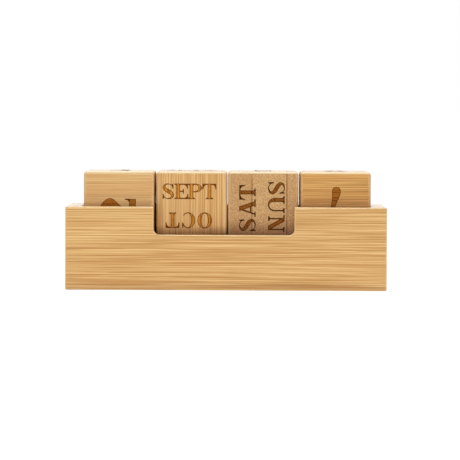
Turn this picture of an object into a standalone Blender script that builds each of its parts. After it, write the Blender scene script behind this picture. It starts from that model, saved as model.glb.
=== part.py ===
"""Perpetual desk calendar: four cubes standing in a row in a notched bamboo holder.

Metres, +Z up. The origin is on the table, under the middle of the holder. +X runs along the row
of cubes, and the notched front faces -Y.
"""

import math

import bmesh
import bpy
from mathutils import Vector

# Cubes
CUBE_SIDE = 0.038
CUBE_EDGE_RADIUS = 0.002
LIFT_GAP = 0.0003

# Spaces along the row, from the left end board to the right one
ROW_LEFT_CLEARANCE = 0.0015
FIRST_CUBE_GAP = 0.0011
MIDDLE_CUBE_GAP = 0.0005
LAST_CUBE_GAP = 0.0009
ROW_RIGHT_CLEARANCE = 0.0005

# Spaces in front of and behind the cubes
FRONT_CLEARANCE = 0.0004
BACK_CLEARANCE = 0.0004

# Holder boards
WALL_THICKNESS = 0.008
END_THICKNESS = 0.008
BASE_THICKNESS = 0.0253
HOLDER_HEIGHT = 0.0447
GLUE_GAP = 0.0003
ARRIS_RADIUS = 0.0008

# Finger notch in the front board
NOTCH_DEPTH = 0.015
NOTCH_CORNER_RADIUS = 0.003
NOTCH_NARROWING = 0.0006
NOTCH_SHIFT = -0.0011

# Facets
CUBE_EDGE_STEPS = 4
ARRIS_STEPS = 3
NOTCH_CORNER_STEPS = 8
SMOOTH_ANGLE = math.radians(40)

# Sizes that follow from the ones above
TROUGH_LENGTH = (ROW_LEFT_CLEARANCE + FIRST_CUBE_GAP + MIDDLE_CUBE_GAP + LAST_CUBE_GAP
                 + ROW_RIGHT_CLEARANCE + 4 * CUBE_SIDE)
TROUGH_DEPTH = FRONT_CLEARANCE + CUBE_SIDE + BACK_CLEARANCE
HOLDER_LENGTH = TROUGH_LENGTH + 2 * END_THICKNESS
HOLDER_DEPTH = TROUGH_DEPTH + 2 * WALL_THICKNESS
NOTCH_WIDTH = 2 * CUBE_SIDE - NOTCH_NARROWING
NOTCH_FLOOR = HOLDER_HEIGHT - NOTCH_DEPTH

# Two heights or widths closer than this are the same plane
SAME_PLANE = GLUE_GAP / 10


def clear_scene():
    for obj in list(bpy.data.objects):
        bpy.data.objects.remove(obj, do_unlink=True)


def linear(red, green, blue):
    """Linear colour of an 8-bit screen colour."""
    channels = [value / 255 for value in (red, green, blue)]
    curved = [((value + 0.055) / 1.055) ** 2.4 if value > 0.04045 else value / 12.92 for value in channels]
    return (*curved, 1.0)


def bamboo(name, colour, roughness=0.45):
    material = bpy.data.materials.new(name)
    material.use_nodes = True
    shader = material.node_tree.nodes["Principled BSDF"]
    shader.inputs["Base Color"].default_value = colour
    shader.inputs["Roughness"].default_value = roughness
    shader.inputs["Metallic"].default_value = 0.0
    material.diffuse_color = colour
    return material


def add_object(name, shape, material, location, parent):
    """Turn a bmesh into a named object, shaded smooth but for its real corners."""
    bmesh.ops.recalc_face_normals(shape, faces=shape.faces)
    mesh = bpy.data.meshes.new(name)
    shape.to_mesh(mesh)
    shape.free()
    mesh.shade_smooth()
    mesh.set_sharp_from_angle(angle=SMOOTH_ANGLE)
    mesh.materials.append(material)
    obj = bpy.data.objects.new(name, mesh)
    bpy.context.scene.collection.objects.link(obj)
    obj.location = location
    obj.parent = parent
    return obj


def add_empty(name):
    empty = bpy.data.objects.new(name, None)
    bpy.context.scene.collection.objects.link(empty)
    return empty


def extrude_outline(outline, thickness):
    """Board of an (x, z) outline, from y = 0 to y = thickness."""
    shape = bmesh.new()
    face = shape.faces.new([shape.verts.new((x, 0, z)) for x, z in outline])
    grown = bmesh.ops.extrude_face_region(shape, geom=[face])["geom"]
    moved = [item for item in grown if isinstance(item, bmesh.types.BMVert)]
    bmesh.ops.translate(shape, vec=Vector((0, thickness, 0)), verts=moved)
    return shape


def rectangle(length, height):
    half = length / 2
    return [(-half, 0), (half, 0), (half, height), (-half, height)]


def corner_arc(centre_x, centre_z, start, end):
    """Points of a notch corner, a quarter turn from angle start to angle end."""
    turns = [start + (end - start) * step / NOTCH_CORNER_STEPS for step in range(NOTCH_CORNER_STEPS + 1)]
    return [(centre_x + NOTCH_CORNER_RADIUS * math.cos(turn),
             centre_z + NOTCH_CORNER_RADIUS * math.sin(turn)) for turn in turns]


def notched_outline():
    """Front board outline, anticlockwise as seen from the front, with the notch cut from the top."""
    half = HOLDER_LENGTH / 2
    left = NOTCH_SHIFT - NOTCH_WIDTH / 2
    right = NOTCH_SHIFT + NOTCH_WIDTH / 2
    arc_height = NOTCH_FLOOR + NOTCH_CORNER_RADIUS
    right_corner = corner_arc(right - NOTCH_CORNER_RADIUS, arc_height, 0, -math.pi / 2)
    left_corner = corner_arc(left + NOTCH_CORNER_RADIUS, arc_height, -math.pi / 2, -math.pi)
    return [(-half, 0), (half, 0), (half, HOLDER_HEIGHT), (right, HOLDER_HEIGHT),
            *right_corner, *left_corner, (left, HOLDER_HEIGHT), (-half, HOLDER_HEIGHT)]


def edge_in_plane(edge, axis, position):
    return all(abs(vert.co[axis] - position) < SAME_PLANE for vert in edge.verts)


def ease(shape, edges):
    """Round the chosen edges of a board, as sandpaper leaves them."""
    bmesh.ops.bevel(shape, geom=edges, offset=ARRIS_RADIUS, offset_type="OFFSET", segments=ARRIS_STEPS,
                    profile=0.5, affect="EDGES", clamp_overlap=True)


def ease_wall(shape, outer_y, inner_y):
    """Ease a long wall where it shows, and leave it sharp where the other boards are glued on."""
    def at_end(edge):
        return edge_in_plane(edge, 0, HOLDER_LENGTH / 2) or edge_in_plane(edge, 0, -HOLDER_LENGTH / 2)

    def at_bottom(edge):
        return edge_in_plane(edge, 2, 0)

    outer = [edge for edge in shape.edges if edge_in_plane(edge, 1, outer_y)]
    inner = [edge for edge in shape.edges
             if edge_in_plane(edge, 1, inner_y) and not at_end(edge) and not at_bottom(edge)]
    across = [edge for edge in shape.edges if at_end(edge)
              and (at_bottom(edge) or edge_in_plane(edge, 2, HOLDER_HEIGHT))
              and edge not in outer]
    ease(shape, outer + inner + across)


def make_front_board(holder, material):
    shape = extrude_outline(notched_outline(), WALL_THICKNESS)
    ease_wall(shape, 0, WALL_THICKNESS)
    return add_object("front_board", shape, material, (0, -HOLDER_DEPTH / 2, 0), holder)


def make_back_board(holder, material):
    shape = extrude_outline(rectangle(HOLDER_LENGTH, HOLDER_HEIGHT), WALL_THICKNESS)
    ease_wall(shape, WALL_THICKNESS, 0)
    return add_object("back_board", shape, material, (0, HOLDER_DEPTH / 2 - WALL_THICKNESS, 0), holder)


def make_end_board(name, side, holder, material):
    """End board on side -1 or 1, glued between the two walls and flush with their ends."""
    depth = TROUGH_DEPTH - 2 * GLUE_GAP
    shape = extrude_outline(rectangle(END_THICKNESS, HOLDER_HEIGHT), depth)
    outer = [edge for edge in shape.edges if edge_in_plane(edge, 0, side * END_THICKNESS / 2)
             and (edge_in_plane(edge, 2, 0) or edge_in_plane(edge, 2, HOLDER_HEIGHT))]
    inner = [edge for edge in shape.edges if edge_in_plane(edge, 0, -side * END_THICKNESS / 2)
             and edge_in_plane(edge, 2, HOLDER_HEIGHT)]
    ease(shape, outer + inner)
    place = (side * (HOLDER_LENGTH - END_THICKNESS) / 2, -depth / 2, 0)
    return add_object(name, shape, material, place, holder)


def make_base_board(holder, material):
    """Thick board between the four walls, whose top is the floor of the trough."""
    depth = TROUGH_DEPTH - 2 * GLUE_GAP
    shape = extrude_outline(rectangle(TROUGH_LENGTH - 2 * GLUE_GAP, BASE_THICKNESS), depth)
    return add_object("base_board", shape, material, (0, -depth / 2, 0), holder)


def make_cube(name, left_x, material):
    """Loose cube with its left face at left_x, its origin in its middle, on the line it lifts along."""
    shape = bmesh.new()
    bmesh.ops.create_cube(shape, size=CUBE_SIDE)
    bmesh.ops.bevel(shape, geom=list(shape.edges), offset=CUBE_EDGE_RADIUS, offset_type="OFFSET",
                    segments=CUBE_EDGE_STEPS, profile=0.5, affect="EDGES", clamp_overlap=True)
    middle_y = (FRONT_CLEARANCE - BACK_CLEARANCE) / 2
    middle_z = BASE_THICKNESS + LIFT_GAP + CUBE_SIDE / 2
    return add_object(name, shape, material, (left_x + CUBE_SIDE / 2, middle_y, middle_z), None)


def build_holder():
    holder = add_empty("holder")
    make_front_board(holder, bamboo("front_board_bamboo", linear(219, 174, 113)))
    make_back_board(holder, bamboo("back_board_bamboo", linear(217, 172, 112)))
    make_end_board("left_end_board", -1, holder, bamboo("left_end_bamboo", linear(215, 169, 109)))
    make_end_board("right_end_board", 1, holder, bamboo("right_end_bamboo", linear(213, 168, 108)))
    make_base_board(holder, bamboo("base_board_bamboo", linear(212, 166, 106)))


def build_cubes():
    """The row of cubes, each one started at the right face of the last, plus their gap."""
    row = (("number_cube_low", ROW_LEFT_CLEARANCE, linear(220, 178, 120)),
           ("month_cube", FIRST_CUBE_GAP, linear(216, 170, 110)),
           ("weekday_cube", MIDDLE_CUBE_GAP, linear(200, 158, 108)),
           ("number_cube_high", LAST_CUBE_GAP, linear(207, 158, 96)))
    edge = -TROUGH_LENGTH / 2
    for name, gap, colour in row:
        make_cube(name, edge + gap, bamboo(name + "_bamboo", colour))
        edge += gap + CUBE_SIDE


def main():
    clear_scene()
    build_holder()
    build_cubes()


main()
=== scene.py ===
"""Perpetual desk calendar in laminated bamboo: a notched tray with four engraved cubes.

Metres, +Z up. The tray's notched front faces -Y, and the cubes stand in a row along X.
"""

import math

import bpy
import numpy as np
from mathutils import Matrix, Vector
from mathutils.geometry import delaunay_2d_cdt


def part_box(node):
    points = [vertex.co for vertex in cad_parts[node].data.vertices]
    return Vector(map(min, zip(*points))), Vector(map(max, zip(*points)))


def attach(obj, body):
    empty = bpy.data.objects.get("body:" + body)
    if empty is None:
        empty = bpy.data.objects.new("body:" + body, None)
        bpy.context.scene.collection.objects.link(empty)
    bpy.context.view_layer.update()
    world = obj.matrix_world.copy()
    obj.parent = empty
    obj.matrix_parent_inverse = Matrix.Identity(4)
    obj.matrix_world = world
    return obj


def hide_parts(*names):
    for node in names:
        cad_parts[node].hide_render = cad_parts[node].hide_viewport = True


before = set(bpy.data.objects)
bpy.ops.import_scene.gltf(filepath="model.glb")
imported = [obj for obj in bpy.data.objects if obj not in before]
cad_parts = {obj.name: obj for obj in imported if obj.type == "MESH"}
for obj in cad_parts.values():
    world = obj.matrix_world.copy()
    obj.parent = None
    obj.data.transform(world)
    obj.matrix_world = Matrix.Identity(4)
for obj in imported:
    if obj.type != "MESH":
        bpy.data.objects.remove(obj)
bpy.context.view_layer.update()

MM = 0.001

# Cubes
CUBE_ROUNDING = 2 * MM
CUBE_ROUNDING_STEPS = 6
FLAT_MARGIN = 0.3 * MM
SMOOTH_ANGLE = math.radians(35)
SAME_DIRECTION = 0.99
SAME_PLANE = 0.1 * MM
SAME_FLOOR = 0.03 * MM
WELD_DISTANCE = 0.002 * MM

# Engraving
FLOOR_DEPTH = 0.35 * MM
RIM_DEPTH = 0.15 * MM
RIM_WIDTH_MM = 0.32
CORE_BURN = 0.4
MONTH_HEIGHT_MM = 8.35
WEEKDAY_HEIGHT_MM = 8.9
NUMBER_HEIGHT_MM = 19.6
LINE_OFFSET_MM = 7.8
CUT_TOLERANCE_MM = 1e-4

# Space between letters, as a share of their height
WIDE_TRACK = 0.06
LOOSE_TRACK = 0.05

# Glue in the joints of the holder
GLUE_FILM = 0.28 * MM
GLUE_RECESS = 0.05 * MM
GLUE_TOP_RECESS = 0.5 * MM
GLUE_ROUNDING = 0.05 * MM
GLUE_ROUNDING_STEPS = 2
GLUE_PATCHES = (180, 180, 180)
GLUE_ROUGHNESS = 0.3
GLUE_ROUGHNESS_SWAY = 0.3

# Letter proportions, as shares of the letter height
THICK_SHARE = 0.24
THIN_SHARE = 0.085
SLAB_SHARE = 0.08
REACH_SHARE = 0.11
BRACKET_SHARE = 0.09
BEAK_LENGTH = 0.33
BEAK_FLARE = 0.012
BEAK_TIP = 0.04
BEAK_CURVE = ((0.09, 0.19), (0.16, 0.115), (0.26, SLAB_SHARE), (0.26, 0))
QUARTER_STEPS = 10
BRACKET_STEPS = 4
BRUSH_STEPS = 6

# Spare thickness that a curved stroke needs before it gets a core, as a share of its rim
LEAST_CORE = 0.25

# How often each pattern of the wood comes in a metre, along the fibres and across them
BUNDLES = (5, 1650, 1650)
BUNDLE_BREAKS = (34, 900, 900)
DASHES = (18, 2200, 2200)
STREAKS = (12, 1300, 1300)
THREADS = (13, 2300, 2300)
FINE_FIBRES = (55, 3800, 3800)
PORES = (8, 1250, 1050)
CLOUDS = (14, 60, 60)
WANDER = (16, 30, 30)

# The value at which each pattern starts to show, and the one at which it shows in full
BUNDLE_EDGE = (0.42, 0.26)
BREAK_EDGE = (0.38, 0.56)
DASH_EDGE = (0.55, 0.62)
PORE_EDGE = (0.42, 0.2)
SEAM_EDGE = (0.8, 0.3)
SEAM_BREAKS = (0.35, 0.55)
WARM_PATCHES = (0.45, 0.7)
END_GRAIN_FACING = (0.55, 0.95)

# How far each pattern sways the wood from its ripe colour to its pale one
STREAK_SWAY = 0.9
THREAD_SWAY = 4.4
CLOUD_SWAY = 0.6
SKIN_SWAY = -0.3
FINE_SWAY = 0.5

# The rest of the grain
NOISE_MIDDLE = 0.5
WANDER_WIDTH = 0.7 * MM
BUNDLE_RANDOMNESS = 0.9
PORE_RANDOMNESS = 0.6
LAYER_SHIFT = 0.618
PATCH_WARMTH = 0.15
DASH_STRENGTH = 0.8
LINES_ON_END_GRAIN = 0.15
PORES_OFF_SKIN = 0.5
END_GRAIN_TINT = (0.86, 0.84, 0.86, 1)
# Colour multiplied in where shade is painted, low on a piece and under the holder
SHADE_TINT = (0.48, 0.35, 0.21, 1)
WOOD_ROUGHNESS = 0.4
LINE_ROUGHNESS = 0.14
FINE_ROUGHNESS = 0.18
END_GRAIN_ROUGHNESS = 0.1
FINE_HEIGHT = 0.5

# Sanded edges with a painted highlight, more on edges that face up: the share that is pale on upright and on
# level faces, and the pale colour
CUBE_SANDING_AND_HIGHLIGHT = (0.2, 0.8, (0.95, 0.76, 0.47, 1))
BOARD_SANDING_AND_HIGHLIGHT = (0.5, 0.75, (0.97, 0.73, 0.38, 1))
BOARD_EDGE = 1 * MM
RUB_PATCHES = (260, 260, 260)
RUB_UNEVENNESS = 0.8
RUB_EDGE = (1.2, 0.35)
OFF_FLAT = (0.985, 0.9)
UPRIGHT_FACING = (-0.5, -0.1)
LEVEL_FACING = (0.2, 0.7)
RUB_ROUGHNESS = 0.06

# Painted shade low on a piece and on faces under the holder
SHADE_PATCHES = (70, 70, 70)
SHADE_UNEVENNESS = 0.25
UNDERSIDE_FACING = (-0.1, -0.5)
UNDERSIDE_SHADE = 0.65
BOARD_FOOT_START = 5.5 * MM
BOARD_FOOT_END = 0.5 * MM
BOARD_FOOT_SHADE = 0.38

# Burnt letters
SCORCH_PATCHES = (900, 900, 900)
SCORCH_SWAY = 0.7
FIBRE_HOLLOWS = (0.2, -0.3)
FIBRE_BURN = 0.5
CHARRING = (0.35, 0.95)
WOOD_THROUGH_BURN = 0.2
LETTER_EDGE = (0.1, 0.3)
LETTER_ROUGHNESS = 0.25
LETTER_DULLNESS = 0.92
SIDE_FACING = (0.3, 0.75)

# Clear satin finish
BUMP_STRENGTH = 0.5
BUMP_HEIGHT = 0.04 * MM
SATIN = {"Specular IOR Level": 0.05, "Coat Weight": 1.0, "Coat Roughness": 0.16, "Coat IOR": 1.4}

# Studio: the floor and the world are seen at one strength and light the object at another
FLOOR_SIZE = 60
PAPER = {"Base Color": (0.8, 0.8, 0.8, 1), "Roughness": 0.9, "Specular IOR Level": 0.1}
FLOOR_GLOW = 0.7
FLOOR_BOUNCE = 1.68
FLOOR_SEEN = 1.3
WORLD_LIGHT = 0.42
WORLD_SEEN = 1.0
WHITE = (1, 1, 1, 1)

# Each lamp's place, size and power, all turned to the same point
LAMPS = {
    "key": ((-0.7, -1.3, 1.5), 1.4, 2.5),
    "fill": ((1.2, -1.2, 0.9), 1.2, 1.6),
    "overhead": ((0, 0.25, 1.58), 1.0, 17),
}
LAMP_TARGET = Vector((0, 0, 0.03))

# Camera
CAMERA_PLACE = Vector((0.0101, -1.5174, 0.100))
CAMERA_YAW = math.radians(0.3067)
CAMERA_PITCH = math.radians(2.595)
CAMERA_ROLL = math.radians(0.25)
CAMERA_LENS = 218.1
CAMERA_SENSOR = 36
CAMERA_NEAR = 0.05
CAMERA_FAR = 50


def bar(left, bottom, right, top):
    """Upright or level stroke."""
    def cut(inset):
        if min(right - left, top - bottom) <= 2 * inset:
            return []
        low, high = bottom + inset, top - inset
        return [[(left + inset, low), (right - inset, low), (right - inset, high), (left + inset, high)]]
    return cut


def slant(foot, bottom, head, top, width):
    """Sloping stroke with level ends, from (foot, bottom) to (head, top)."""
    def cut(inset):
        run = (head - foot) / (top - bottom)
        half = width / 2 - inset * math.hypot(1, run)
        if half <= 0:
            return []
        low, high = foot + run * inset, head - run * inset
        return [[(low - half, bottom + inset), (low + half, bottom + inset),
                 (high + half, top - inset), (high - half, top - inset)]]
    return cut


def strip(outer, inner, thick_enough):
    """Triangles between two lines of points, where the stroke is thick enough to have an inside."""
    shapes = []
    for i in range(len(outer) - 1):
        if thick_enough[i] and thick_enough[i + 1]:
            shapes.append([outer[i], outer[i + 1], inner[i + 1]])
            shapes.append([outer[i], inner[i + 1], inner[i]])
    return shapes


def bowl(x, y, wide, tall, side, cap, start=0, end=360):
    """Round stroke about (x, y): side thick at its sides and cap thick at its top and bottom."""
    def cut(inset):
        steps = max(1, round(QUARTER_STEPS * abs(end - start) / 90))
        outer, inner, thick_enough = [], [], []
        for i in range(steps + 1):
            turn = math.radians(start + (end - start) * i / steps)
            c, s = math.cos(turn), math.sin(turn)
            outside = Vector(((wide - inset) * c, (tall - inset) * s))
            inside = Vector(((wide - side + inset) * c, (tall - cap + inset) * s))
            outer.append((x + outside.x, y + outside.y))
            inner.append((x + inside.x, y + inside.y))
            thick_enough.append(outside.length > inside.length + LEAST_CORE * inset)
        return strip(outer, inner, thick_enough)
    return cut


def brush(*stops):
    """Stroke of changing width through stops of (x, y, width), rounded like a pen line."""
    def cut(inset):
        points = [Vector(stop) for stop in stops]
        points = [2 * points[0] - points[1], *points, 2 * points[-1] - points[-2]]
        line = []
        for a, b, c, d in zip(points, points[1:], points[2:], points[3:]):
            for i in range(BRUSH_STEPS):
                t = i / BRUSH_STEPS
                line.append((2 * b + t * (c - a) + t * t * (2 * a - 5 * b + 4 * c - d)
                             + t ** 3 * (3 * b - a - 3 * c + d)) / 2)
        line.append(points[-2])
        outer, inner, thick_enough = [], [], []
        for i, point in enumerate(line):
            ahead = line[min(i + 1, len(line) - 1)] - line[max(i - 1, 0)]
            across = Vector((-ahead.y, ahead.x)).normalized() * max(point.z / 2 - inset, 0)
            outer.append((point.x - across.x, point.y - across.y))
            inner.append((point.x + across.x, point.y + across.y))
            thick_enough.append(point.z / 2 > (1 + LEAST_CORE) * inset)
        return strip(outer, inner, thick_enough)
    return cut


def ball(x, y, radius):
    """Round blob that ends a stroke."""
    def cut(inset):
        turns = [2 * math.pi * i / (4 * QUARTER_STEPS) for i in range(4 * QUARTER_STEPS)]
        return [[(x + (radius - inset) * math.cos(t), y + (radius - inset) * math.sin(t)) for t in turns]]
    return cut


def plate(*corners):
    """Straight-sided stroke without a hollow, its corners given anticlockwise."""
    def cut(inset):
        sides = []
        for a, b in zip(corners, corners[1:] + corners[:1]):
            along = (Vector(b) - Vector(a)).normalized()
            sides.append((Vector(a) + Vector((-along.y, along.x)) * inset, along))
        shape = []
        for (a, along), (b, next_along) in zip(sides[-1:] + sides[:-1], sides):
            shape.append(tuple(a + along * ((b - a).cross(next_along) / along.cross(next_along))))
        return [shape]
    return cut


def wedge(*points):
    """Small pointed shape, too narrow to have an inside."""
    return lambda inset: [] if inset else [list(points)]


def bracket(x, y, right, up, size=BRACKET_SHARE):
    """Hollow fillet in the corner (x, y), towards right = -1 or 1 and up = -1 or 1."""
    turns = [math.pi / 2 * i / BRACKET_STEPS for i in range(BRACKET_STEPS + 1)]
    curve = [(x + right * size * (1 - math.sin(t)), y + up * size * (1 - math.cos(t))) for t in turns]
    return wedge((x, y), *curve)


def beak(x, y, side, down, length=BEAK_LENGTH):
    """Spur at the end of an arm whose outer corner is (x, y), on side -1 or 1, pointing down 1 or up -1."""
    outline = ((-BEAK_FLARE, length), (BEAK_TIP, length), *BEAK_CURVE)
    return wedge((x, y), *((x - side * inward, y - down * drop) for inward, drop in outline))


def slab(left, right, y, up):
    """Slab serif under (up = 1) or over (up = -1) a stroke that runs from left to right there."""
    inner = y + up * SLAB_SHARE
    return [bar(left - REACH_SHARE, min(y, inner), right + REACH_SHARE, max(y, inner)),
            bracket(left, inner, -1, up), bracket(right, inner, 1, up)]


def stem(left, bottom=0.0, top=1.0, width=THICK_SHARE, slabs="both"):
    """Upright stroke with slab serifs at its foot, its head or both."""
    right = left + width
    strokes = [bar(left, bottom, right, top)]
    if slabs in ("both", "low"):
        strokes += slab(left, right, bottom, 1)
    if slabs in ("both", "high"):
        strokes += slab(left, right, top, -1)
    return strokes


# Short names and shared strokes for the table of letters
T, N, S = THICK_SHARE, THIN_SHARE, SLAB_SHARE
ROUND_BACK = [bowl(0.49, 0.5, 0.47, 0.52, 0.26, 0.065, 90, 270),
              bowl(0.49, 0.5, 0.39, 0.52, 0.07, 0.065, 28, 90)]
C_TIP = wedge((0.86, 1), (0.81, 1), (0.78, 0.86), (0.74, 0.8), (0.82, 0.64), (0.87, 0.64))
MIDDLE_ARM = [bar(0.3, 0.46, 0.6, 0.54), bar(0.565, 0.32, 0.62, 0.68), bracket(0.565, 0.54, -1, 1),
              bracket(0.565, 0.46, -1, -1)]

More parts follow.
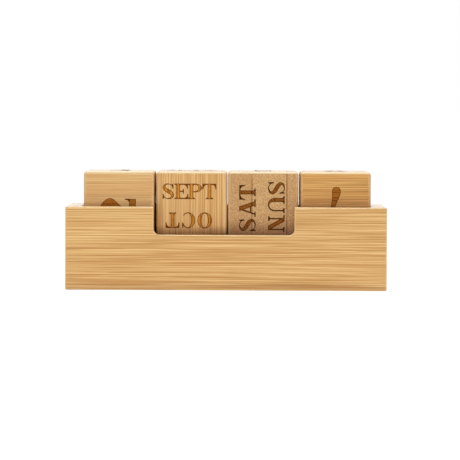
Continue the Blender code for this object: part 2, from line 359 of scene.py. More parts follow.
# Each letter's width and strokes, as shares of the letter height, with its foot at (0, 0)
LETTERS = {
    "A": (1.06, [slant(0.15, 0, 0.49, 1, 0.1), slant(0.83, 0, 0.49, 1, 0.27), bar(0.24, 0.27, 0.72, 0.35),
                 bar(0, 0, 0.3, S), bar(0.6, 0, 1.06, S), bracket(0.2, S, 1, 1, 0.06),
                 bracket(0.11, S, -1, 1, 0.04), bracket(0.69, S, -1, 1, 0.06), bracket(0.95, S, 1, 1, 0.06)]),
    "B": (0.94, [*stem(0.11), bar(0.3, 1 - S, 0.48, 1), bar(0.3, 0, 0.48, S), bar(0.3, 0.49, 0.5, 0.56),
                 bowl(0.46, 0.745, 0.36, 0.255, 0.23, 0.075, -90, 90),
                 bowl(0.48, 0.28, 0.43, 0.28, 0.25, 0.075, -90, 90)]),
    "C": (0.93, [*ROUND_BACK, bowl(0.49, 0.5, 0.4, 0.52, 0.06, 0.065, 270, 322), C_TIP]),
    "D": (1.02, [*stem(0.11), bar(0.3, 1 - S, 0.46, 1), bar(0.3, 0, 0.46, S),
                 bowl(0.46, 0.5, 0.52, 0.5, 0.26, 0.08, -90, 90)]),
    "E": (0.9, [*stem(0.11), bar(0.3, 1 - S, 0.86, 1), bar(0.3, 0, 0.89, S), beak(0.86, 1, 1, 1),
                beak(0.89, 0, 1, -1), *MIDDLE_ARM]),
    "F": (0.86, [*stem(0.11), bar(0.3, 1 - S, 0.84, 1), beak(0.84, 1, 1, 1), *MIDDLE_ARM]),
    "G": (1.03, [*ROUND_BACK, bowl(0.49, 0.5, 0.42, 0.52, 0.08, 0.065, 270, 315),
                 *stem(0.68, 0.03, 0.44, T, "high"), C_TIP]),
    "H": (1.12, [*stem(0.11), *stem(0.77), bar(0.3, 0.46, 0.8, 0.54)]),
    "I": (0.46, stem(0.11)),
    "J": (0.74, [*stem(0.38, 0.3, 1, T, "high"), bowl(0.33, 0.3, 0.29, 0.32, 0.24, 0.075, 270, 360),
                 bowl(0.33, 0.3, 0.29, 0.32, 0.06, 0.075, 195, 270), ball(0.13, 0.25, 0.1)]),
    "L": (0.87, [*stem(0.11), bar(0.3, 0, 0.86, S), beak(0.86, 0, 1, -1, 0.38)]),
    "M": (1.33, [*stem(0.18, 0, 1, N, "low"), bar(0, 1 - S, 0.36, 1), *stem(0.98),
                 slant(0.62, 0, 0.25, 1, 0.26), slant(0.64, 0, 1.02, 1, 0.09)]),
    "N": (1.1, [*stem(0.19, 0, 1, N, "low"), bar(0, 1 - S, 0.34, 1), *stem(0.84, 0, 1, N, "high"),
                slant(0.81, 0, 0.25, 1, 0.29)]),
    "O": (1.0, [bowl(0.5, 0.5, 0.47, 0.52, 0.26, 0.065)]),
    "P": (0.93, [*stem(0.11), bar(0.3, 1 - S, 0.5, 1), bar(0.3, 0.44, 0.5, 0.51),
                 bowl(0.48, 0.72, 0.42, 0.28, 0.24, 0.075, -90, 90)]),
    "R": (1.05, [*stem(0.11), bar(0.3, 1 - S, 0.5, 1), bar(0.3, 0.47, 0.5, 0.54),
                 bowl(0.48, 0.735, 0.4, 0.265, 0.24, 0.075, -90, 90),
                 brush((0.46, 0.5, 0.06), (0.6, 0.42, 0.16), (0.68, 0.25, 0.22), (0.75, 0.1, 0.2),
                       (0.87, 0.04, 0.09)),
                 wedge((0.84, 0), (1.04, 0.1), (1.04, 0.15), (1.01, 0.14), (0.93, 0.09), (0.84, 0.085))]),
    "S": (0.87, [brush((0.735, 0.7, 0.05), (0.65, 0.89, 0.055), (0.43, 0.975, 0.06), (0.22, 0.9, 0.12),
                       (0.165, 0.74, 0.19), (0.29, 0.6, 0.235), (0.45, 0.5, 0.255), (0.62, 0.39, 0.235),
                       (0.72, 0.25, 0.19), (0.65, 0.1, 0.12), (0.43, 0.025, 0.06), (0.2, 0.11, 0.055),
                       (0.105, 0.32, 0.05)),
                 wedge((0.765, 1), (0.71, 1), (0.66, 0.87), (0.715, 0.68), (0.775, 0.68)),
                 wedge((0.075, 0), (0.13, 0), (0.185, 0.13), (0.125, 0.34), (0.065, 0.34))]),
    "T": (0.92, [*stem(0.34, 0, 1, T, "low"), bar(0.02, 1 - S, 0.9, 1), beak(0.9, 1, 1, 1, 0.36),
                 beak(0.02, 1, -1, 1, 0.36)]),
    "U": (1.08, [*stem(0.11, 0.37, 1, T, "high"), *stem(0.83, 0.37, 1, N, "high"),
                 bowl(0.5125, 0.37, 0.4025, 0.39, 0.24, 0.09, 180, 270),
                 bowl(0.5125, 0.37, 0.4025, 0.39, 0.085, 0.09, 270, 360)]),
    "V": (1.06, [slant(0.53, 0, 0.22, 1, 0.27), slant(0.55, 0, 0.87, 1, 0.1), bar(0, 1 - S, 0.45, 1),
                 bar(0.72, 1 - S, 1.06, 1)]),
    "W": (1.48, [slant(0.44, 0, 0.2, 1, 0.25), slant(0.46, 0, 0.72, 1, 0.09), slant(0.99, 0, 0.72, 1, 0.25),
                 slant(1.01, 0, 1.3, 1, 0.09), bar(0, 1 - S, 0.42, 1), bar(0.54, 1 - S, 0.88, 1),
                 bar(1.14, 1 - S, 1.48, 1)]),
    "Y": (1.04, [slant(0.54, 0.4, 0.2, 1, 0.27), slant(0.57, 0.4, 0.86, 1, 0.1),
                 *stem(0.42, 0, 0.45, T, "low"), bar(0, 1 - S, 0.43, 1), bar(0.71, 1 - S, 1.04, 1)]),
    "0": (0.64, [bowl(0.32, 0.5, 0.3, 0.51, 0.21, 0.06)]),
    "1": (0.5, [*stem(0.16, 0, 1, 0.22, "low"), plate((0.2, 1), (0.02, 0.84), (0.02, 0.78), (0.2, 0.87))]),
    "2": (0.6, [ball(0.14, 0.75, 0.1),
                brush((0.07, 0.77, 0.05), (0.13, 0.9, 0.055), (0.25, 0.975, 0.05), (0.358, 0.892, 0.13),
                      (0.45, 0.715, 0.225), (0.372, 0.558, 0.16), (0.26, 0.38, 0.1), (0.15, 0.2, 0.07),
                      (0.08, 0.06, 0.06)),
                brush((0.09, 0.08, 0.1), (0.2, 0.13, 0.15), (0.34, 0.1, 0.18), (0.5, 0.09, 0.18)),
                bar(0.4, 0, 0.54, 0.18),
                wedge((0.54, 0.1), (0.55, 0.3), (0.52, 0.3), (0.5, 0.22), (0.44, 0.18), (0.44, 0.1))]),
    "3": (0.6, [ball(0.14, 0.77, 0.095),
                brush((0.07, 0.79, 0.05), (0.13, 0.91, 0.055), (0.26, 0.975, 0.05), (0.38, 0.92, 0.12),
                      (0.43, 0.78, 0.18), (0.38, 0.62, 0.12), (0.24, 0.545, 0.05)),
                brush((0.22, 0.545, 0.05), (0.36, 0.5, 0.1), (0.465, 0.29, 0.21), (0.4, 0.1, 0.13),
                      (0.26, 0.025, 0.05), (0.12, 0.08, 0.055), (0.06, 0.21, 0.05)), ball(0.13, 0.24, 0.1)]),
    "4": (0.68, [*stem(0.36, 0, 1, 0.22, "low"), slant(0.06, 0.25, 0.5, 1, 0.08),
                 bar(0.02, 0.24, 0.66, 0.31)]),
    "5": (0.6, [plate((0.12, 1), (0.1, 0.82), (0.5, 0.82), (0.56, 1)), bar(0.1, 0.5, 0.15, 0.9),
                brush((0.12, 0.51, 0.05), (0.25, 0.6, 0.055), (0.4, 0.52, 0.14), (0.465, 0.31, 0.21),
                      (0.4, 0.1, 0.13), (0.26, 0.025, 0.05), (0.12, 0.08, 0.055), (0.06, 0.2, 0.05)),
                ball(0.13, 0.23, 0.1)]),
    "6": (0.64, [bowl(0.32, 0.31, 0.29, 0.32, 0.2, 0.055),
                 brush((0.13, 0.34, 0.2), (0.155, 0.6, 0.17), (0.26, 0.84, 0.1), (0.39, 0.965, 0.055),
                       (0.51, 0.9, 0.05)), ball(0.47, 0.83, 0.085)]),
    "7": (0.6, [plate((0.04, 1), (0.029, 0.83), (0.18, 0.83), (0.5, 0.84), (0.57, 1)),
                wedge((0.029, 0.83), (0.02, 0.68), (0.05, 0.68), (0.1, 0.79), (0.18, 0.83)),
                brush((0.55, 0.97, 0.05), (0.47, 0.76, 0.08), (0.39, 0.53, 0.115), (0.34, 0.34, 0.17),
                      (0.31, 0.2, 0.225), (0.305, 0.12, 0.238)), ball(0.305, 0.12, 0.119)]),
    "8": (0.64, [bowl(0.32, 0.765, 0.235, 0.25, 0.15, 0.05), bowl(0.32, 0.285, 0.29, 0.3, 0.2, 0.055)]),
}

# How much closer together some pairs stand than the rest, as shares of the letter height
KERNS = {("A", "T"): 0.1, ("A", "Y"): 0.1, ("L", "Y"): 0.12, ("J", "A"): 0.04, ("P", "R"): -0.02,
         ("P", "T"): -0.03}

# A cube's faces: outward direction, and the reading and upward directions of its lettering
FACES = {
    "front": (Vector((0, -1, 0)), Vector((1, 0, 0)), Vector((0, 0, 1))),
    "back": (Vector((0, 1, 0)), Vector((-1, 0, 0)), Vector((0, 0, 1))),
    "left": (Vector((-1, 0, 0)), Vector((0, -1, 0)), Vector((0, 0, 1))),
    "right": (Vector((1, 0, 0)), Vector((0, 1, 0)), Vector((0, 0, 1))),
    "top": (Vector((0, 0, 1)), Vector((1, 0, 0)), Vector((0, 1, 0))),
    "bottom": (Vector((0, 0, -1)), Vector((1, 0, 0)), Vector((0, -1, 0))),
}
WOOD, RIM, CORE = 0, 1, 2


def place_word(word, height, track, middle, turn):
    """Outlines and cores of a word's strokes in a face's millimetres, centred on middle and turned."""
    gaps = [track - KERNS.get(pair, 0) for pair in zip(word, word[1:])] + [0]
    width = sum(LETTERS[letter][0] for letter in word) + sum(gaps)
    turning = Matrix.Rotation(math.radians(turn), 2)
    outlines, cores = [], []
    start = -width / 2
    for letter, gap in zip(word, gaps):
        advance, strokes = LETTERS[letter]
        for stroke in strokes:
            for shapes, inset in ((outlines, 0), (cores, RIM_WIDTH_MM / height)):
                for shape in stroke(inset):
                    shapes.append([turning @ (Vector((start + x, y - 0.5)) * height) + Vector(middle)
                                   for x, y in shape])
        start += advance + gap
    return outlines, cores


def covered(points, shape):
    """Which of the points lie inside a shape."""
    inside = np.zeros(len(points), bool)
    for a, b in zip(shape, shape[1:] + shape[:1]):
        crosses = (a.y > points[:, 1]) != (b.y > points[:, 1])
        if a.y != b.y:
            inside ^= crosses & (points[:, 0] < a.x + (points[:, 1] - a.y) * (b.x - a.x) / (b.y - a.y))
    return inside


def cut_pattern(outlines, cores, half):
    """Split a square face of half width half, in millimetres, into triangles of wood, rims and cores."""
    square = [Vector((-half, -half)), Vector((half, -half)), Vector((half, half)), Vector((-half, half))]
    points, edges = [], []
    for shape in [square, *outlines, *cores]:
        first = len(points)
        points += shape
        edges += [(first + i, first + (i + 1) % len(shape)) for i in range(len(shape))]
    verts, _, triangles, _, _, _ = delaunay_2d_cdt(points, edges, [], 0, CUT_TOLERANCE_MM)
    flat = np.array([tuple(v) for v in verts])
    middles = flat[np.array([tuple(t) for t in triangles])].mean(1)
    kinds = np.full(len(triangles), WOOD)
    for kind, shapes in ((RIM, outlines), (CORE, cores)):
        for shape in shapes:
            kinds[covered(middles, shape)] = kind
    return verts, triangles, kinds


def start_editing(obj):
    for other in bpy.context.selected_objects:
        other.select_set(False)
    obj.select_set(True)
    bpy.context.view_layer.objects.active = obj
    bpy.ops.object.mode_set(mode="EDIT")
    bpy.ops.mesh.select_mode(type="FACE")
    bpy.ops.mesh.select_all(action="DESELECT")


def stop_editing():
    bpy.ops.object.mode_set(mode="OBJECT")


def select_faces(obj, wanted):
    """Select the faces that wanted says, by their place and normal."""
    bpy.ops.mesh.select_all(action="DESELECT")
    stop_editing()
    for face in obj.data.polygons:
        face.select = wanted(face)
    bpy.ops.object.mode_set(mode="EDIT")


def push_in(obj, kinds, direction, reach, depth):
    """Sink the faces of some kinds, where they look in a direction, as an engraver does."""
    middle = Vector(obj["middle"])

    def wanted(face):
        kind = obj.data.attributes["kind"].data[face.index].value
        looks_out = face.normal.dot(direction) > SAME_DIRECTION
        return kind in kinds and looks_out and (face.center - middle).dot(direction) > reach
    select_faces(obj, wanted)
    bpy.ops.mesh.extrude_region_move(TRANSFORM_OT_translate={"value": -direction * depth})


def rounded_block(name, node):
    """Cube of a CAD node's place and size, with rounded edges and six open faces for the lettering."""
    low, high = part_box(node)
    middle, side = (low + high) / 2, high.x - low.x
    bpy.ops.object.select_all(action="DESELECT")
    bpy.ops.mesh.primitive_cube_add(size=side, location=middle)
    block = bpy.context.active_object
    block.name = block.data.name = name
    bpy.ops.object.transform_apply(location=True, rotation=True, scale=True)
    start_editing(block)
    bpy.ops.mesh.select_mode(type="EDGE")
    bpy.ops.mesh.select_all(action="SELECT")
    bpy.ops.mesh.bevel(offset=CUBE_ROUNDING, segments=CUBE_ROUNDING_STEPS, profile=0.5, affect="EDGES")
    bpy.ops.mesh.select_mode(type="FACE")
    flat = (side / 2 - CUBE_ROUNDING) ** 2
    select_faces(block, lambda face: face.area > flat)
    bpy.ops.mesh.inset(thickness=FLAT_MARGIN, use_individual=True)
    bpy.ops.mesh.delete(type="FACE")
    stop_editing()
    block["middle"] = middle
    return block, side / 2 - CUBE_ROUNDING - FLAT_MARGIN


def engraved_block(name, node, engraving):
    """Rounded cube with its lettering sunk in. engraving gives each face its words."""
    block, half = rounded_block(name, node)
    middle = Vector(block["middle"])
    reach = half + CUBE_ROUNDING + FLAT_MARGIN
    plates = []
    for side, (out, right, up) in FACES.items():
        outlines, cores = [], []
        for word in engraving[side]:
            more_outlines, more_cores = place_word(*word)
            outlines += more_outlines
            cores += more_cores
        verts, triangles, kinds = cut_pattern(outlines, cores, half / MM)
        mesh = bpy.data.meshes.new(side)
        mesh.from_pydata([middle + out * reach + right * (v.x * MM) + up * (v.y * MM) for v in verts],
                         [], triangles)
        mesh.attributes.new("kind", "INT", "FACE").data.foreach_set("value", kinds)
        plate = bpy.data.objects.new(side, mesh)
        bpy.context.scene.collection.objects.link(plate)
        plates.append(plate)
    block.data.attributes.new("kind", "INT", "FACE")
    bpy.ops.object.select_all(action="DESELECT")
    for plate in plates:
        plate.select_set(True)
    block.select_set(True)
    bpy.context.view_layer.objects.active = block
    bpy.ops.object.join()
    start_editing(block)
    bpy.ops.mesh.select_all(action="SELECT")
    bpy.ops.mesh.remove_doubles(threshold=WELD_DISTANCE)
    for out, _, _ in FACES.values():
        push_in(block, (RIM, CORE), out, reach - SAME_PLANE, FLOOR_DEPTH)
        push_in(block, (RIM,), out, reach - FLOOR_DEPTH - SAME_PLANE, RIM_DEPTH)
    stop_editing()
    mark_burn(block)
    bpy.ops.object.shade_smooth_by_angle(angle=SMOOTH_ANGLE)
    return block


def mark_burn(block):
    """Store how burnt each face is: fully on the rims and walls of a stroke, and lightly on its core."""
    middle = Vector(block["middle"])
    burn = []
    for face, kind in zip(block.data.polygons, block.data.attributes["kind"].data):
        off = face.center - middle
        is_floor = abs(off.dot(face.normal)) > max(abs(c) for c in off) - SAME_FLOOR
        if kind.value == WOOD:
            burn.append(0.0)
        elif kind.value == CORE and is_floor:
            burn.append(CORE_BURN)
        else:
            burn.append(1.0)
    block.data.attributes.new("burn", "FLOAT", "FACE").data.foreach_set("value", burn)
    block.data.attributes.remove(block.data.attributes["kind"])
    del block["middle"]


# Node trees

def feed(tree, node, inputs):
    """Set inputs of a node, each to a value or to the output that feeds it."""
    for name, value in inputs.items():
        if isinstance(value, bpy.types.NodeSocket):
            tree.links.new(value, node.inputs[name])
        else:
            node.inputs[name].default_value = value


def add(tree, kind, inputs=None, **settings):
    node = tree.nodes.new(kind)
    for name, value in settings.items():
        setattr(node, name, value)
    feed(tree, node, inputs or {})
    return node


def group_node(tree, group, inputs):
    return add(tree, "ShaderNodeGroup", inputs, node_tree=group).outputs


def calc(tree, operation, *values, clamp=False):
    inputs = dict(enumerate(values))
    return add(tree, "ShaderNodeMath", inputs, operation=operation, use_clamp=clamp).outputs[0]


def vector_calc(tree, operation, *values):
    return add(tree, "ShaderNodeVectorMath", dict(enumerate(values)), operation=operation).outputs[0]


def parts_of(tree, vector):
    """X, Y and Z of a vector."""
    return add(tree, "ShaderNodeSeparateXYZ", {"Vector": vector}).outputs


def mapped(tree, vector, **settings):
    return add(tree, "ShaderNodeMapping", {"Vector": vector, **settings}).outputs[0]


# Sockets of a mix node that is set to colour
MIX_SHARE, MIX_FIRST, MIX_SECOND, MIX_RESULT = 0, 6, 7, 2


def mix(tree, share, first, second, blend="MIX"):
    inputs = {MIX_SHARE: share, MIX_FIRST: first, MIX_SECOND: second}
    node = add(tree, "ShaderNodeMix", inputs, data_type="RGBA", blend_type=blend)
    return node.outputs[MIX_RESULT]


def fade(tree, value, start, end):
    """0 where value is at start or beyond, 1 where it is at end or beyond, smooth between."""
    return add(tree, "ShaderNodeMapRange", {"Value": value, "From Min": start, "From Max": end},
               interpolation_type="SMOOTHSTEP").outputs[0]


def noise(tree, position, stretch, detail=2.0, output="Fac"):
    scaled = vector_calc(tree, "MULTIPLY", position, stretch)
    return add(tree, "ShaderNodeTexNoise", {"Vector": scaled, "Scale": 1.0, "Detail": detail}).outputs[output]


def cells(tree, position, stretch, randomness):
    """Distance from the middle of the nearest cell."""
    scaled = vector_calc(tree, "MULTIPLY", position, stretch)
    inputs = {"Vector": scaled, "Scale": 1.0, "Randomness": randomness}
    return add(tree, "ShaderNodeTexVoronoi", inputs).outputs["Distance"]


def sway(tree, pattern, amount, base, clamp=False):
    """Base, moved up and down by a pattern whose middle is 0.5."""
    off_middle = calc(tree, "SUBTRACT", pattern, NOISE_MIDDLE)
    return calc(tree, "MULTIPLY_ADD", off_middle, amount, base, clamp=clamp)


def new_group(name, vectors, colours, numbers, results):
    """Node group with the named inputs, the outputs of its input node, and its output node."""
    group = bpy.data.node_groups.new(name, "ShaderNodeTree")
    for label in vectors:
        group.interface.new_socket(label, in_out="INPUT", socket_type="NodeSocketVector")
    for kind, values in (("Color", colours), ("Float", numbers)):
        for label, value in values.items():
            socket = group.interface.new_socket(label, in_out="INPUT", socket_type="NodeSocket" + kind)
            socket.default_value = value
    for label, kind in results.items():
        group.interface.new_socket(label, in_out="OUTPUT", socket_type="NodeSocket" + kind)
    return group, group.nodes.new("NodeGroupInput").outputs, group.nodes.new("NodeGroupOutput")


def new_material(name):
    """Material, its node tree and its shader."""
    material = bpy.data.materials.new(name)
    material.use_nodes = True
    return material, material.node_tree, material.node_tree.nodes["Principled BSDF"]


def screen(red, green, blue):
    """Linear colour of an 8-bit screen colour."""
    channels = [value / 255 for value in (red, green, blue)]
    return (*(((c + 0.055) / 1.055) ** 2.4 if c > 0.04045 else c / 12.92 for c in channels), 1.0)


def seam(tree, place, size, width):
    """1 on the seams of strips of a size, which lie where place is a whole number, and 0 away from them."""
    off = calc(tree, "SUBTRACT", calc(tree, "FRACT", calc(tree, "ADD", place, 0.5)), 0.5)
    off = calc(tree, "MULTIPLY", calc(tree, "ABSOLUTE", off), size)
    return fade(tree, calc(tree, "DIVIDE", off, width), *SEAM_EDGE)


def glued_strips(group, given, cloud):
    """Tone and warmth of the strip at a point, the seams between strips, and how deep the point lies."""
    _, y, z = parts_of(group, given["Position"])
    layer_at = calc(group, "DIVIDE", z, given["Strip Thickness"])
    layer = calc(group, "FLOOR", layer_at)
    shift = calc(group, "FRACT", calc(group, "MULTIPLY", layer, LAYER_SHIFT))
    shift = calc(group, "MULTIPLY", shift, given["Stagger"])
    column_at = calc(group, "ADD", calc(group, "DIVIDE", y, given["Strip Width"]), shift)
    column = calc(group, "FLOOR", column_at)
    strip_at = add(group, "ShaderNodeCombineXYZ", {"X": layer, "Y": column}).outputs[0]
    chance = add(group, "ShaderNodeTexWhiteNoise", {"Vector": strip_at}).outputs
    seams = calc(group, "MAXIMUM", seam(group, layer_at, given["Strip Thickness"], given["Seam Width"]),
                 seam(group, column_at, given["Strip Width"], given["Seam Width"]))
    seams = calc(group, "MULTIPLY", seams, fade(group, cloud, *SEAM_BREAKS))
    return chance["Value"], parts_of(group, chance["Color"])["Y"], seams, calc(group, "FRACT", layer_at)


def make_bamboo_grain():
    """Laminated bamboo as a solid: fibre bundles run along X, strips lie side by side in Y and Z."""
    group, given, made = new_group(
        "bamboo_grain", ("Position", "Normal"),
        {"Pale": screen(232, 192, 136), "Ripe": screen(204, 156, 96), "Fibre": screen(168, 108, 40),
         "Warm": screen(214, 152, 82), "Seam": screen(150, 92, 40)},
        {"Bundle Strength": 0.5, "Strip Contrast": 0.2, "Strip Width": 19 * MM, "Strip Thickness": 6 * MM,
         "Seam Strength": 0.25, "Seam Width": 0.2 * MM, "Stagger": 1.0, "Painted Shade": 0.0},
        {"Colour": "Color", "Roughness": "Float", "Height": "Float"})
    at = given["Position"]
    wander = vector_calc(group, "SUBTRACT", noise(group, at, WANDER, detail=1, output="Color"),
                         (NOISE_MIDDLE, NOISE_MIDDLE, NOISE_MIDDLE))
    drift = vector_calc(group, "MULTIPLY", wander, (0, WANDER_WIDTH, WANDER_WIDTH))
    bent = vector_calc(group, "ADD", at, drift)
    facing = calc(group, "ABSOLUTE", parts_of(group, given["Normal"])["X"])
    end_grain = fade(group, facing, *END_GRAIN_FACING)
    along = calc(group, "SUBTRACT", 1.0, end_grain)

    bundle = fade(group, cells(group, bent, BUNDLES, BUNDLE_RANDOMNESS), *BUNDLE_EDGE)
    bundle = calc(group, "MULTIPLY", bundle, fade(group, noise(group, bent, BUNDLE_BREAKS), *BREAK_EDGE))
    dash = fade(group, noise(group, bent, DASHES, detail=1), *DASH_EDGE)
    streak = noise(group, bent, STREAKS)
    thread = noise(group, bent, THREADS, detail=1)
    fine = noise(group, bent, FINE_FIBRES)
    cloud = noise(group, at, CLOUDS, detail=3)
    strip_tone, strip_warmth, seams, depth = glued_strips(group, given, cloud)
    skin = calc(group, "MULTIPLY", depth, end_grain)

    tone = NOISE_MIDDLE
    for pattern, amount in ((streak, STREAK_SWAY), (thread, THREAD_SWAY), (cloud, CLOUD_SWAY),
                            (strip_tone, given["Strip Contrast"])):
        tone = sway(group, pattern, amount, tone)
    tone = calc(group, "MULTIPLY_ADD", skin, SKIN_SWAY, tone)
    tone = sway(group, fine, FINE_SWAY, tone, clamp=True)
    warmth = calc(group, "MULTIPLY", strip_warmth, given["Strip Contrast"])
    warmth = calc(group, "MULTIPLY_ADD", fade(group, cloud, *WARM_PATCHES), PATCH_WARMTH, warmth)

    pores = fade(group, cells(group, at, PORES, PORE_RANDOMNESS), *PORE_EDGE)
    near_skin = calc(group, "MULTIPLY_ADD", skin, 1 - PORES_OFF_SKIN, PORES_OFF_SKIN)
    pores = calc(group, "MULTIPLY", calc(group, "MULTIPLY", pores, end_grain), near_skin)
    lines = calc(group, "MAXIMUM", bundle, calc(group, "MULTIPLY", dash, DASH_STRENGTH))
    lengthways = calc(group, "MULTIPLY_ADD", along, 1 - LINES_ON_END_GRAIN, LINES_ON_END_GRAIN)
    lines = calc(group, "MAXIMUM", calc(group, "MULTIPLY", lines, lengthways), pores)
    lines = calc(group, "MULTIPLY", lines, given["Bundle Strength"])

    colour = mix(group, tone, given["Ripe"], given["Pale"])
    colour = mix(group, warmth, colour, given["Warm"])
    colour = mix(group, lines, colour, given["Fibre"])
    colour = mix(group, calc(group, "MULTIPLY", seams, given["Seam Strength"]), colour, given["Seam"])
    colour = mix(group, end_grain, colour, END_GRAIN_TINT, "MULTIPLY")
    # Painted shade: the wood multiplied by the shade tint, as far as the piece asks
    colour = mix(group, given["Painted Shade"], colour, SHADE_TINT, "MULTIPLY")
    rough = calc(group, "MULTIPLY_ADD", lines, LINE_ROUGHNESS, WOOD_ROUGHNESS)
    rough = sway(group, fine, FINE_ROUGHNESS, rough)
    rough = calc(group, "MULTIPLY_ADD", end_grain, END_GRAIN_ROUGHNESS, rough)
    height = calc(group, "SUBTRACT", calc(group, "MULTIPLY", fine, FINE_HEIGHT), lines)
    height = calc(group, "SUBTRACT", height, seams)
    feed(group, made, {"Colour": colour, "Roughness": rough, "Height": height})
    return group


def make_sanded_and_highlit_edges():
    """1 near the edges of a block and where its surface turns off the flats, and 0 elsewhere."""
    group, given, made = new_group("sanded_and_highlit_edges", ("Position", "Normal", "Half Size"), {},
                                   {"Softness": 2 * MM}, {"Edge": "Float"})
    at = given["Position"]
    beyond = vector_calc(group, "SUBTRACT", vector_calc(group, "ABSOLUTE", at), given["Half Size"])
    x, y, z = parts_of(group, beyond)
    larger = calc(group, "MAXIMUM", x, y)
    smaller = calc(group, "MINIMUM", x, y)
    second = calc(group, "MAXIMUM", smaller, calc(group, "MINIMUM", larger, z))
    inside = calc(group, "DIVIDE", calc(group, "MULTIPLY", second, -1.0), given["Softness"])
    patches = noise(group, at, RUB_PATCHES, detail=3)
    uneven = calc(group, "MULTIPLY_ADD", patches, RUB_UNEVENNESS, inside)
    x, y, z = parts_of(group, vector_calc(group, "ABSOLUTE", given["Normal"]))
    rounded = fade(group, calc(group, "MAXIMUM", calc(group, "MAXIMUM", x, y), z), *OFF_FLAT)
    feed(group, made, {"Edge": calc(group, "MAXIMUM", fade(group, uneven, *RUB_EDGE), rounded)})
    return group


def make_burnt_letters():
    """Wood scorched by the engraver, darkest where burn is 1, with the fibres burnt darker than the rest."""
    group, given, made = new_group(
        "burnt_letters", ("Position",),
        {"Colour": WHITE, "Toasted": screen(186, 122, 46), "Charred": screen(116, 64, 10)},
        {"Burn": 0.0, "Fibres": 0.0}, {"Scorched": "Color", "Mask": "Float"})
    patches = noise(group, given["Position"], SCORCH_PATCHES, detail=3)
    share = sway(group, patches, SCORCH_SWAY, given["Burn"])
    share = calc(group, "MULTIPLY_ADD", fade(group, given["Fibres"], *FIBRE_HOLLOWS), FIBRE_BURN, share)
    scorched = mix(group, fade(group, share, *CHARRING), given["Toasted"], given["Charred"])
    grained = mix(group, 1.0, scorched, given["Colour"], "MULTIPLY")
    scorched = mix(group, WOOD_THROUGH_BURN, scorched, grained)
    mask = fade(group, given["Burn"], *LETTER_EDGE)
    feed(group, made, {"Scorched": mix(group, mask, given["Colour"], scorched), "Mask": mask})
    return group


DARK_GLUE = screen(140, 92, 44)
PALE_GLUE = screen(186, 138, 82)

BAMBOO_GRAIN = make_bamboo_grain()
SANDED_AND_HIGHLIT_EDGES = make_sanded_and_highlit_edges()
BURNT_LETTERS = make_burnt_letters()

# Turns that lay the grain along each axis, with the layers stacked as the piece shows them
ALONG_X = (0, 0, 0)
ALONG_Y = (0, 0, math.radians(-90))
ALONG_Z = (0, math.radians(90), 0)


def painted_shade_below(tree, centred, start, end, share):
    """Painted shade low on a piece: none above the height start, and share of it below the height end."""
    uneven = noise(tree, centred, SHADE_PATCHES)
    height = sway(tree, uneven, SHADE_UNEVENNESS * (start - end), parts_of(tree, centred)["Z"])
    return calc(tree, "MULTIPLY", fade(tree, height, start, end), share)


def bamboo(name, node, turn, start, look, darker, burnt=None, softness=BOARD_EDGE):
    """Satin bamboo for the piece that stands at a CAD node, its grain turned and started where asked."""
    low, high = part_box(node)
    middle, half = (low + high) / 2, (high - low) / 2
    material, tree, shader = new_material(name)
    feed(tree, shader, SATIN)
    place = add(tree, "ShaderNodeTexCoord").outputs
    centred = mapped(tree, place["Object"], Location=-middle)
    started = mapped(tree, mapped(tree, centred, Rotation=turn), Location=start)
    facing = mapped(tree, place["Normal"], Rotation=turn)
    sideways, _, level = parts_of(tree, place["Normal"])
    # Painted shade low on the piece, where shadow falls near the floor and the tray's edges
    painted_shade = painted_shade_below(tree, centred, *darker)
    # Boards also get painted shade on the faces that look down
    if not burnt:
        painted_underside_shade = calc(tree, "MULTIPLY", fade(tree, level, *UNDERSIDE_FACING), UNDERSIDE_SHADE)
        painted_shade = calc(tree, "MAXIMUM", painted_shade, painted_underside_shade)
    grain = group_node(tree, BAMBOO_GRAIN, {"Position": started, "Normal": facing,
                                            "Painted Shade": painted_shade, **look})
    edge = group_node(tree, SANDED_AND_HIGHLIT_EDGES, {"Position": centred, "Normal": place["Normal"], "Half Size": half,
                                           "Softness": softness})["Edge"]
    # Pale edges: partly sanding and partly a painted highlight, which is stronger on edges that face up
    upright_share, level_share, pale_sanding_and_highlight = CUBE_SANDING_AND_HIGHLIGHT if burnt else BOARD_SANDING_AND_HIGHLIGHT
    share = calc(tree, "MULTIPLY", fade(tree, level, *UPRIGHT_FACING), upright_share)
    share = calc(tree, "MULTIPLY_ADD", fade(tree, level, *LEVEL_FACING), level_share - upright_share, share)
    colour = mix(tree, calc(tree, "MULTIPLY", edge, share), grain["Colour"], pale_sanding_and_highlight)
    rough = calc(tree, "MULTIPLY_ADD", edge, RUB_ROUGHNESS, grain["Roughness"])
    if burnt:
        burn = add(tree, "ShaderNodeAttribute", attribute_name="burn").outputs["Fac"]
        letters = group_node(tree, BURNT_LETTERS, {"Colour": colour, "Burn": burn, "Position": centred,
                                                   "Fibres": grain["Height"], **burnt})
        colour = letters["Scorched"]
        rough = calc(tree, "MULTIPLY_ADD", letters["Mask"], LETTER_ROUGHNESS, rough)
        side = fade(tree, calc(tree, "ABSOLUTE", sideways), *SIDE_FACING)
        dull = calc(tree, "MAXIMUM", calc(tree, "MULTIPLY", letters["Mask"], LETTER_DULLNESS), side)
        feed(tree, shader, {"Coat Weight": calc(tree, "SUBTRACT", 1.0, dull)})
    bump = add(tree, "ShaderNodeBump", {"Height": grain["Height"], "Strength": BUMP_STRENGTH,
                                        "Distance": BUMP_HEIGHT})
    feed(tree, shader, {"Base Color": colour, "Roughness": rough, "Normal": bump.outputs[0]})
    return material


def number_faces(front, front_turn, front_place, others):
    """One number to a face, the front one set and turned as it stands in the tray."""
    numbers = {side: [(number, NUMBER_HEIGHT_MM, 0, (0, 0), 0)]
               for side, number in zip(list(FACES)[1:], others)}
    return {"front": [(front, NUMBER_HEIGHT_MM, 0, front_place, front_turn)], **numbers}


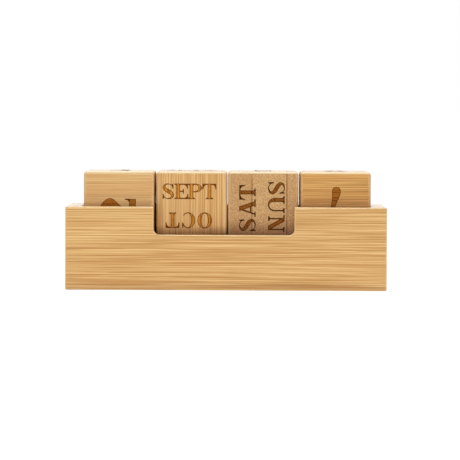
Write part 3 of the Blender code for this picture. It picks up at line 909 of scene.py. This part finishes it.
def word_pair(upper, lower, height, tracks, turn=0, shift=(0, 0), slides=(0, 0)):
    """Two words on a face, the lower one upside down, moved by shift and along their lines by slides."""
    turning = Matrix.Rotation(math.radians(turn), 2)
    words = []
    for word, track, up, slide in zip((upper, lower), tracks, (1, -1), slides):
        place = turning @ Vector((slide, up * LINE_OFFSET_MM)) + Vector(shift)
        words.append((word, height, track, place, turn + (0 if up == 1 else 180)))
    return words


def one_word(word, turn=0):
    return [(word, WEEKDAY_HEIGHT_MM, LOOSE_TRACK, (0, 0), turn)]


MONTHS = {
    "front": word_pair("SEPT", "OCT", MONTH_HEIGHT_MM, (-0.034, 0.09), shift=(-1.4, 0.4)),
    "back": word_pair("MAR", "APR", MONTH_HEIGHT_MM, (WIDE_TRACK, WIDE_TRACK)),
    "left": word_pair("JAN", "FEB", MONTH_HEIGHT_MM, (WIDE_TRACK, WIDE_TRACK)),
    "right": word_pair("MAY", "JUNE", MONTH_HEIGHT_MM, (WIDE_TRACK, 0)),
    "top": word_pair("JULY", "AUG", MONTH_HEIGHT_MM, (0, WIDE_TRACK)),
    "bottom": word_pair("NOV", "DEC", MONTH_HEIGHT_MM, (WIDE_TRACK, WIDE_TRACK)),
}
WEEKDAYS = {
    "front": word_pair("SAT", "SUN", WEEKDAY_HEIGHT_MM, (WIDE_TRACK, LOOSE_TRACK), 90, shift=(-0.65, 0),
                       slides=(-0.9, 0)),
    "back": one_word("WED"),
    "left": one_word("MON", 90),
    "right": one_word("THU"),
    "top": one_word("TUE", 90),
    "bottom": one_word("FRI"),
}
AMBER_BURN = {"Toasted": screen(222, 154, 62), "Charred": screen(138, 75, 6)}
BROWN_BURN = {"Toasted": screen(156, 93, 28), "Charred": screen(80, 40, 0)}
NUMBER_BURN = {"Toasted": screen(188, 122, 40), "Charred": screen(110, 60, 2)}

# Each cube's piece, node, body, slot, lettering, grain turn, grain start, burn, painted shade low on it and
# wood
CUBES = (
    ("number_cube_low_engraved", "number_cube_low", "low_number", "pale_cube_bamboo",
     number_faces("2", 90, (-0.7, -0.75), "01345"), ALONG_X, (0.05, 0.01, 0.0011),
     NUMBER_BURN, (3 * MM, -0.5 * MM, 0.18),
     {"Pale": screen(245, 208, 146), "Ripe": screen(222, 180, 117), "Bundle Strength": 0.36,
      "Strip Contrast": 0.4, "Strip Thickness": 7.1 * MM, "Strip Width": 22 * MM, "Seam Strength": 0.6}),
    ("month_cube_engraved", "month_cube", "month", "pale_cube_bamboo",
     MONTHS, ALONG_Z, (0.3, 0.02, 0.1),
     AMBER_BURN, (-9.5 * MM, -15.2 * MM, 0.92),
     {"Pale": screen(242, 200, 133), "Ripe": screen(208, 155, 87), "Bundle Strength": 0.44,
      "Strip Contrast": 0.12, "Strip Thickness": 5.6 * MM, "Strip Width": 21 * MM, "Seam Strength": 0.35}),
    ("weekday_cube_engraved", "weekday_cube", "weekday", "grey_cube_bamboo",
     WEEKDAYS, ALONG_Y, (0.2, 0.01272, 0.1),
     BROWN_BURN, (-5 * MM, -15.2 * MM, 0.8),
     {"Pale": screen(244, 203, 138), "Ripe": screen(210, 161, 99), "Warm": screen(208, 158, 100),
      "Bundle Strength": 0.75, "Strip Contrast": 0.8, "Strip Thickness": 200 * MM,
      "Strip Width": 18.74 * MM, "Seam Strength": 0.9, "Seam Width": 0.5 * MM, "Stagger": 0.0}),
    ("number_cube_high_engraved", "number_cube_high", "high_number", "orange_cube_bamboo",
     number_faces("7", 180, (0.55, 1.2), "01268"), ALONG_X, (0.4, 0.1555, 0.0034),
     NUMBER_BURN, (3.5 * MM, -0.5 * MM, 0.34),
     {"Pale": screen(236, 187, 110), "Ripe": screen(200, 145, 73), "Warm": screen(205, 136, 58),
      "Seam": screen(150, 76, 32), "Bundle Strength": 0.65, "Strip Contrast": 0.25,
      "Strip Thickness": 6.2 * MM, "Strip Width": 21 * MM, "Seam Strength": 0.65}),
)

# Each board's node, grain turn, grain start and wood
BOARDS = (
    ("front_board", ALONG_X, (0.1, 0.2, 0.3),
     {"Pale": screen(240, 198, 131), "Ripe": screen(206, 154, 87), "Strip Contrast": 0.12}),
    ("back_board", ALONG_X, (0.6, 0.25, 0.1),
     {"Pale": screen(238, 196, 128), "Ripe": screen(204, 152, 84), "Strip Contrast": 0.12}),
    ("left_end_board", ALONG_Y, (0.3, 0.1, 0.2),
     {"Pale": screen(236, 194, 128), "Ripe": screen(202, 152, 84), "Strip Contrast": 0.15}),
    ("right_end_board", ALONG_Y, (0.35, 0.4, 0.25),
     {"Pale": screen(234, 192, 126), "Ripe": screen(200, 150, 82), "Strip Contrast": 0.15}),
    ("base_board", ALONG_X, (0.7, 0.15, 0.22),
     {"Pale": screen(234, 192, 126), "Ripe": screen(200, 150, 84), "Strip Contrast": 0.2}),
)


def dress_cubes():
    for name, node, body, slot, engraving, turn, start, burnt, darker, look in CUBES:
        block = engraved_block(name, node, engraving)
        # Each cube gets painted shade low on it, where the tray's edges shade it
        wood = bamboo(name + "_bamboo", node, turn, start, look, darker, burnt, CUBE_ROUNDING)
        block.data.materials.append(wood)
        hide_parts(node)
        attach(block, body)


def dress_boards():
    for node, turn, start, look in BOARDS:
        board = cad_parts[node]
        low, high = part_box(node)
        foot = (low.z - high.z) / 2
        # Painted shade along the foot of each board, where the floor's shadow falls
        darker = (foot + BOARD_FOOT_START, foot + BOARD_FOOT_END, BOARD_FOOT_SHADE)
        board.material_slots[0].material = bamboo(node + "_satin", node, turn, start, look, darker)


def glue_joints():
    """Lowest and highest corner of each film of glue, in the middle of the gap between two boards."""
    walls = [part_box(name) for name in ("front_board", "back_board")]
    ends = [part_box(name) for name in ("left_end_board", "right_end_board")]
    base_low, base_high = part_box("base_board")
    film = GLUE_FILM / 2
    base_top = base_high.z - GLUE_RECESS
    joints = []
    for end_low, end_high in ends:
        for y in ((walls[0][1].y + end_low.y) / 2, (walls[1][0].y + end_high.y) / 2):
            joints.append(((end_low.x + GLUE_RECESS, y - film, GLUE_RECESS),
                           (end_high.x - GLUE_RECESS, y + film, end_high.z - GLUE_TOP_RECESS)))
    for y in ((walls[0][1].y + base_low.y) / 2, (walls[1][0].y + base_high.y) / 2):
        joints.append(((base_low.x, y - film, GLUE_RECESS), (base_high.x, y + film, base_top)))
    for x in ((ends[0][1].x + base_low.x) / 2, (ends[1][0].x + base_high.x) / 2):
        joints.append(((x - film, base_low.y, GLUE_RECESS), (x + film, base_high.y, base_top)))
    return joints


def glue_lines():
    """Thin amber films in the joints between the holder's boards, a hair below the faces."""
    bpy.ops.object.select_all(action="DESELECT")
    films = []
    for low, high in glue_joints():
        low, high = Vector(low), Vector(high)
        bpy.ops.mesh.primitive_cube_add(size=1, location=(low + high) / 2)
        bpy.context.active_object.scale = high - low
        bpy.ops.object.transform_apply(location=True, rotation=True, scale=True)
        films.append(bpy.context.active_object)
    for film in films:
        film.select_set(True)
    bpy.ops.object.join()
    glue = bpy.context.active_object
    glue.name = glue.data.name = "glue_lines"
    start_editing(glue)
    bpy.ops.mesh.select_all(action="SELECT")
    bpy.ops.mesh.bevel(offset=GLUE_ROUNDING, segments=GLUE_ROUNDING_STEPS, profile=0.5, affect="EDGES")
    stop_editing()
    bpy.ops.object.shade_smooth_by_angle(angle=SMOOTH_ANGLE)
    glue.data.materials.append(dried_glue())
    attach(glue, "holder")


def dried_glue():
    material, tree, shader = new_material("dried_glue")
    place = add(tree, "ShaderNodeTexCoord").outputs["Object"]
    patches = noise(tree, place, GLUE_PATCHES, detail=3)
    rough = calc(tree, "MULTIPLY_ADD", patches, GLUE_ROUGHNESS_SWAY, GLUE_ROUGHNESS)
    feed(tree, shader, {"Base Color": mix(tree, patches, DARK_GLUE, PALE_GLUE), "Roughness": rough})
    return material


def paper_floor():
    """Pale floor that keeps the object's shadow. The camera sees it white, and its glow lights the fronts."""
    bpy.ops.object.select_all(action="DESELECT")
    bpy.ops.mesh.primitive_plane_add(size=FLOOR_SIZE, location=(0, 0, 0))
    floor = bpy.context.active_object
    floor.name = "floor"
    paper, tree, shader = new_material("white_paper")
    feed(tree, shader, PAPER)
    ray = add(tree, "ShaderNodeLightPath").outputs
    seen = calc(tree, "MAXIMUM", ray["Is Camera Ray"], ray["Is Glossy Ray"])
    strength = calc(tree, "MULTIPLY_ADD", seen, FLOOR_SEEN - FLOOR_BOUNCE, FLOOR_BOUNCE)
    glow = add(tree, "ShaderNodeEmission", {"Color": WHITE, "Strength": strength})
    blend = add(tree, "ShaderNodeMixShader", {0: FLOOR_GLOW, 1: shader.outputs[0], 2: glow.outputs[0]})
    feed(tree, tree.nodes["Material Output"], {"Surface": blend.outputs[0]})
    floor.data.materials.append(paper)


def white_surround():
    world = bpy.data.worlds.new("white_surround")
    bpy.context.scene.world = world
    world.use_nodes = True
    tree = world.node_tree
    soft = tree.nodes["Background"]
    feed(tree, soft, {"Color": WHITE, "Strength": WORLD_LIGHT})
    white = add(tree, "ShaderNodeBackground", {"Color": WHITE, "Strength": WORLD_SEEN})
    ray = add(tree, "ShaderNodeLightPath").outputs
    seen = calc(tree, "MAXIMUM", ray["Is Camera Ray"], ray["Is Glossy Ray"])
    seen = calc(tree, "MAXIMUM", seen, ray["Is Transmission Ray"])
    blend = add(tree, "ShaderNodeMixShader", {0: seen, 1: soft.outputs[0], 2: white.outputs[0]})
    feed(tree, tree.nodes["World Output"], {"Surface": blend.outputs[0]})


def soft_lamps():
    for name, (place, size, energy) in LAMPS.items():
        light = bpy.data.lights.new(name, "AREA")
        light.shape = "SQUARE"
        light.size = size
        light.energy = energy
        lamp = bpy.data.objects.new(name, light)
        bpy.context.scene.collection.objects.link(lamp)
        lamp.location = place
        lamp.rotation_mode = "QUATERNION"
        lamp.rotation_quaternion = (LAMP_TARGET - Vector(place)).to_track_quat("-Z", "Y")


def place_camera():
    lens = bpy.data.cameras.new("camera")
    lens.sensor_width = CAMERA_SENSOR
    lens.lens = CAMERA_LENS
    lens.clip_start = CAMERA_NEAR
    lens.clip_end = CAMERA_FAR
    camera = bpy.data.objects.new("camera", lens)
    bpy.context.scene.collection.objects.link(camera)
    turn = (Matrix.Rotation(CAMERA_YAW, 4, "Z") @ Matrix.Rotation(math.pi / 2 - CAMERA_PITCH, 4, "X")
            @ Matrix.Rotation(CAMERA_ROLL, 4, "Z"))
    camera.matrix_world = Matrix.Translation(CAMERA_PLACE) @ turn
    bpy.context.scene.camera = camera


def main():
    bpy.context.scene.view_settings.view_transform = "Standard"
    dress_cubes()
    dress_boards()
    glue_lines()
    paper_floor()
    white_surround()
    soft_lamps()
    place_camera()


main()
